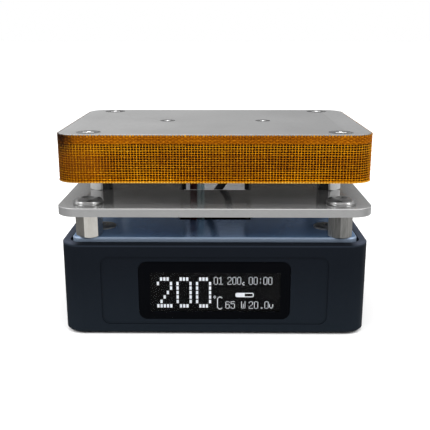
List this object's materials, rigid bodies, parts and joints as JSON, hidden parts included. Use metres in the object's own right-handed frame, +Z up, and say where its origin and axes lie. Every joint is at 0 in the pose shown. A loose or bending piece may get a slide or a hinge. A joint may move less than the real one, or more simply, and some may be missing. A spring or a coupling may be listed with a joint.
{
  "type": "heating platform",
  "caption": "Tabletop heating platform: aluminium hot plate on hexagonal pillars above a heat shield and a case with a display and side buttons.",
  "frame": {"origin": "on the table, under the centre of the footprint", "axes": "+Z up, the display faces -Y, +X to the right as seen from the front"},
  "size_m": [0.073, 0.051, 0.0479],
  "materials": {
    "case": "satin anodised, dark blue-black",
    "rubber": "matte",
    "lens": "polished, dark tint",
    "screen_glass": "polished",
    "circuit_board": "solder mask",
    "black_plastic": "moulded",
    "screw_steel": "bright plated",
    "dark_screw": "dull plated",
    "plate_screw": "bright plated",
    "ferrite": "pressed powder",
    "can_aluminium": "drawn can",
    "bright_steel": "drawn shell",
    "ivory_plastic": "moulded",
    "plunger_plastic": "moulded",
    "button_plastic": "satin",
    "cover": "glossy anodised, blue-grey",
    "nickel": "nickel plated, turned",
    "shield": "polished plate",
    "backing": "mill finish",
    "felt": "ceramic fibre felt",
    "ceramic": "fired ceramic",
    "hot_plate": "bead blasted, clear anodised",
    "glass_wrap": "amber glass mesh and film",
    "sensor_glass": "sealed bead",
    "red_silicone": "satin",
    "black_silicone": "satin",
    "white_sleeve": "smooth sleeve"
  },
  "bodies": {
    "base": {"case_shell": "case", "rubber_feet": "rubber", "display_lens": "lens", "oled_panel": "screen_glass", "oled_board": "circuit_board", "display_header": "black_plastic", "main_board": "circuit_board", "board_screws": "screw_steel", "controller_chips": "black_plastic", "power_transistors": "black_plastic", "inductor": "ferrite", "capacitors": "can_aluminium", "usb_c_shell": "bright_steel", "usb_c_tongue": "black_plastic", "heater_socket": "ivory_plastic", "heater_plug": "ivory_plastic", "sensor_connector": "ivory_plastic", "tact_switches": "black_plastic", "top_cover": "cover", "cover_screws": "dark_screw", "lower_standoffs": "nickel", "shield_plate": "shield", "shield_screws": "screw_steel", "upper_standoffs": "nickel", "standoff_screws": "screw_steel", "backing_plate": "backing", "backing_screws": "screw_steel", "insulation_felt": "felt", "corner_spacers": "ceramic", "clamp_plate": "backing", "heating_elements": "ceramic", "heater_plate": "hot_plate", "plate_screws": "plate_screw", "clamp_screws": "plate_screw", "heater_wrap": "glass_wrap", "heater_terminals": "ceramic", "temperature_sensor": "sensor_glass", "wire_red": "red_silicone", "wire_black": "black_silicone", "sensor_leads": "white_sleeve"},
    "press_minus": {"button_minus": "button_plastic", "plunger_minus": "plunger_plastic"},
    "press_set": {"button_set": "button_plastic", "plunger_set": "plunger_plastic"},
    "press_plus": {"button_plus": "button_plastic", "plunger_plus": "plunger_plastic"}
  },
  "joints": [
    {"name": "slide_minus", "type": "slide", "parent": "base", "child": "press_minus", "axis": [-1, 0, 0], "range_m": [0, 0.00035], "stiffness_N_per_m": 1500},
    {"name": "slide_set", "type": "slide", "parent": "base", "child": "press_set", "axis": [-1, 0, 0], "range_m": [0, 0.00035], "stiffness_N_per_m": 1500},
    {"name": "slide_plus", "type": "slide", "parent": "base", "child": "press_plus", "axis": [-1, 0, 0], "range_m": [0, 0.00035], "stiffness_N_per_m": 1500}
  ]
}
